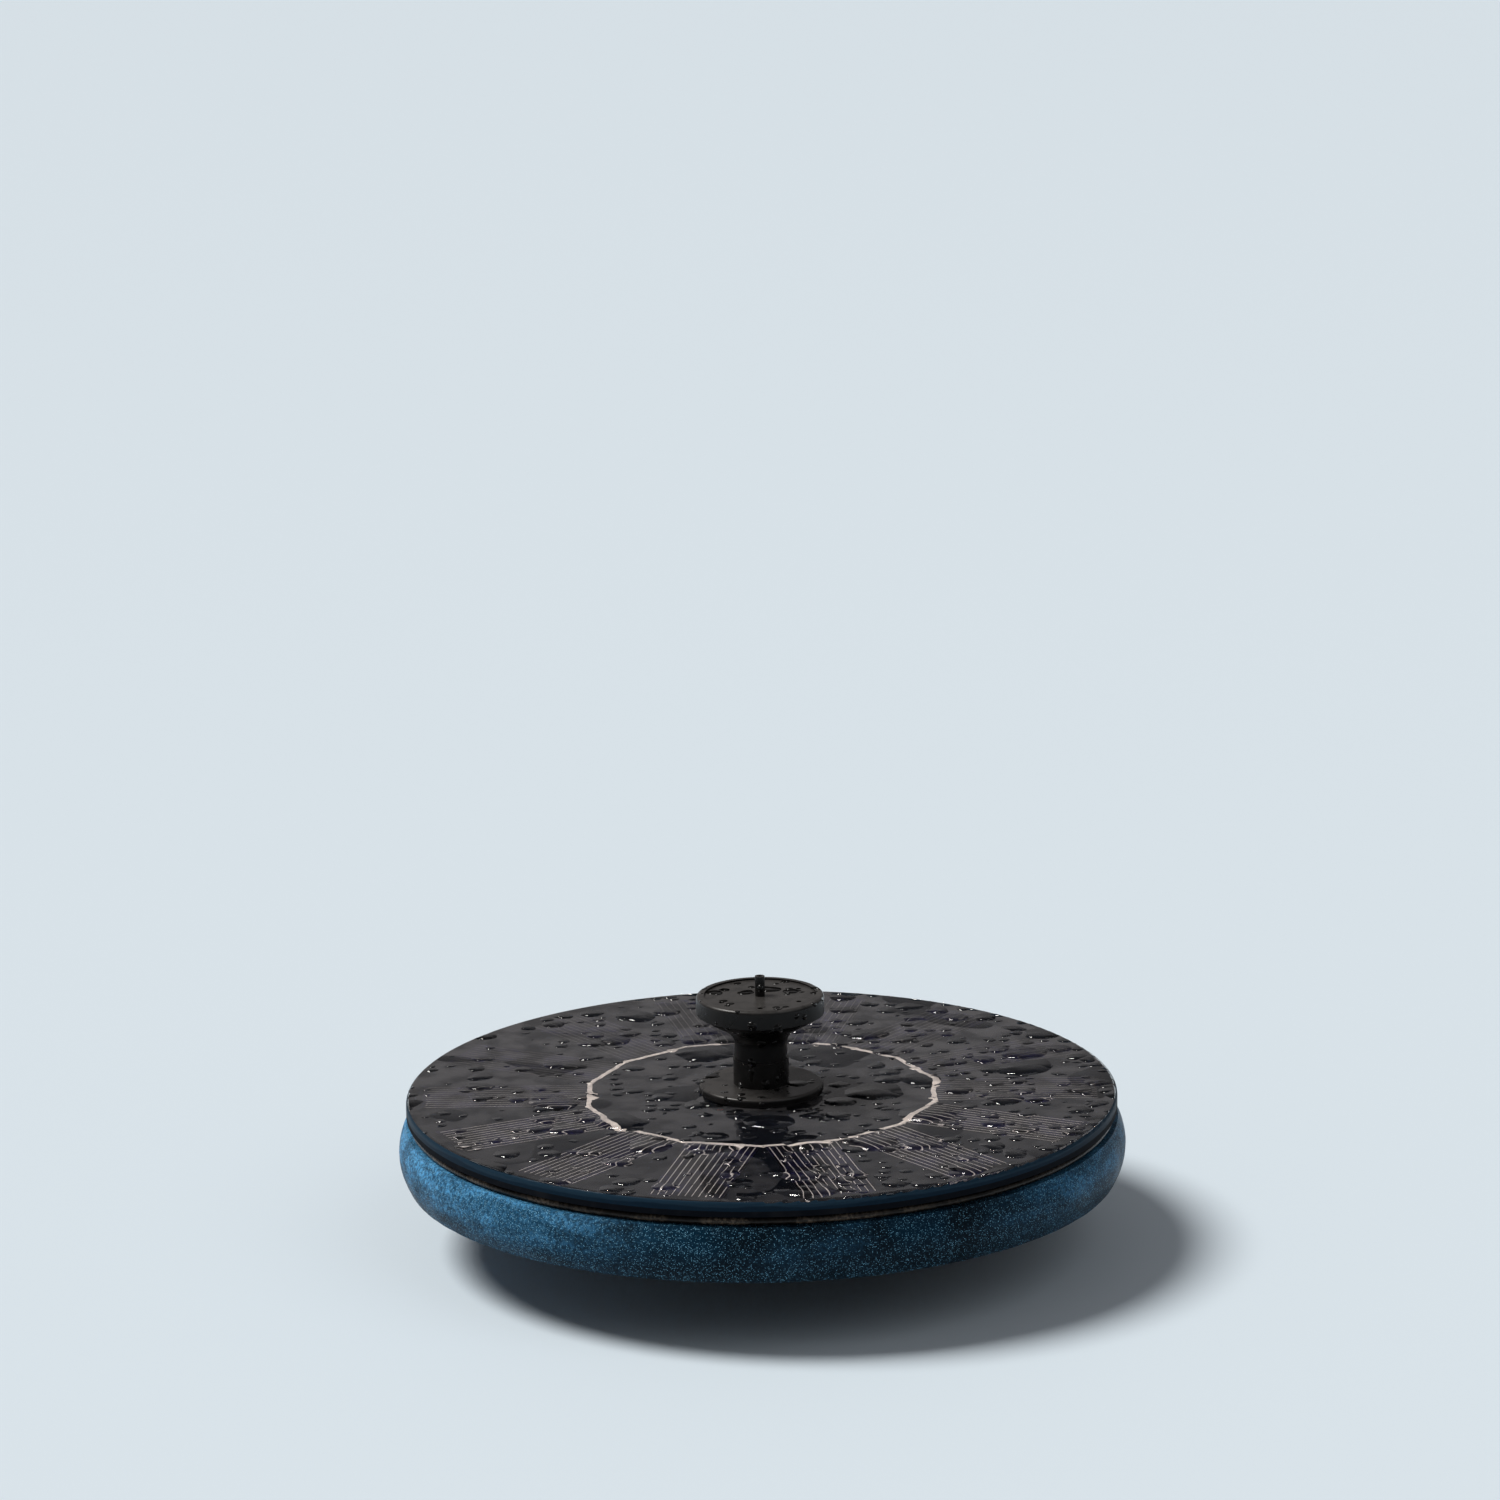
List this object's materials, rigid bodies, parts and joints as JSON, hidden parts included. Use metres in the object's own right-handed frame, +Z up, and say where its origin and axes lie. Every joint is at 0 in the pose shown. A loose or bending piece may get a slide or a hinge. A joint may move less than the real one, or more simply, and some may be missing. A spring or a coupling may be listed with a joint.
{
  "type": "floating solar fountain pump",
  "caption": "Round floating solar panel on a foam ring with a small magnet-drive pump under it that lifts water through a removable spray head.",
  "frame": {"origin": "middle of the strainer's flat underside, on the spray head's axis", "axes": "+Z up along the spray head's axis, from the strainer to the jets; +X and +Y lie in the plane that the pump rests on, with a joint between two solar cells towards -Y"},
  "size_m": [0.164, 0.164, 0.0618],
  "materials": {
    "clear_resin": "gloss",
    "silver_print": "satin",
    "tinned_ribbon": "satin",
    "silicon_cell": "gloss",
    "black_board": "matte",
    "foam_tape": "matte",
    "black_tray": "gloss",
    "float_foam": "matte",
    "head_plastic": "satin",
    "pump_plastic": "satin",
    "seal_rubber": "matte",
    "screw_steel": "satin",
    "core_steel": "satin",
    "bobbin_nylon": "matte",
    "enamelled_wire": "gloss",
    "potting_resin": "gloss",
    "green_board": "satin",
    "chip_black": "matte",
    "lead_red": "satin",
    "lead_black": "satin",
    "shaft_ceramic": "satin",
    "magnet_ferrite": "matte",
    "rotor_plastic": "satin"
  },
  "bodies": {
    "float_and_pump": {"resin_cover": "clear_resin", "cell_fingers": "silver_print", "bus_ribbon": "tinned_ribbon", "solar_cells": "silicon_cell", "panel_board": "black_board", "panel_tape": "foam_tape", "float_tray": "black_tray", "foam_ring": "float_foam", "retaining_collar": "head_plastic", "collar_gasket": "seal_rubber", "pump_can": "pump_plastic", "can_lid": "pump_plastic", "lid_seal": "seal_rubber", "riser_seal": "seal_rubber", "lid_screws": "screw_steel", "stator_core": "core_steel", "coil_bobbins": "bobbin_nylon", "stator_coils": "enamelled_wire", "coil_ends": "enamelled_wire", "potting_layer": "potting_resin", "driver_board": "green_board", "board_parts": "chip_black", "positive_lead": "lead_red", "negative_lead": "lead_black", "lead_grommets": "seal_rubber", "pump_shaft": "shaft_ceramic", "upper_bush": "seal_rubber", "lower_bush": "seal_rubber", "volute_cover": "pump_plastic", "cover_seal": "seal_rubber", "cover_screws": "screw_steel"},
    "rotor": {"impeller": "rotor_plastic", "rotor_magnet": "magnet_ferrite"},
    "spray_head": {"spray_body": "head_plastic", "spray_cap": "head_plastic", "cap_seal": "seal_rubber"},
    "strainer": {"strainer": "pump_plastic"}
  },
  "joints": [
    {"name": "rotor_spin", "type": "hinge", "parent": "float_and_pump", "child": "rotor", "pos_m": [0, 0, 0.012], "axis": [0, 0, 1], "continuous": true},
    {"name": "nozzle_lift", "type": "slide", "parent": "float_and_pump", "child": "spray_head", "axis": [0, 0, 1], "range_m": [0, 0.02]},
    {"name": "strainer_pull", "type": "slide", "parent": "float_and_pump", "child": "strainer", "axis": [0, 0, -1], "range_m": [0, 0.025]}
  ]
}
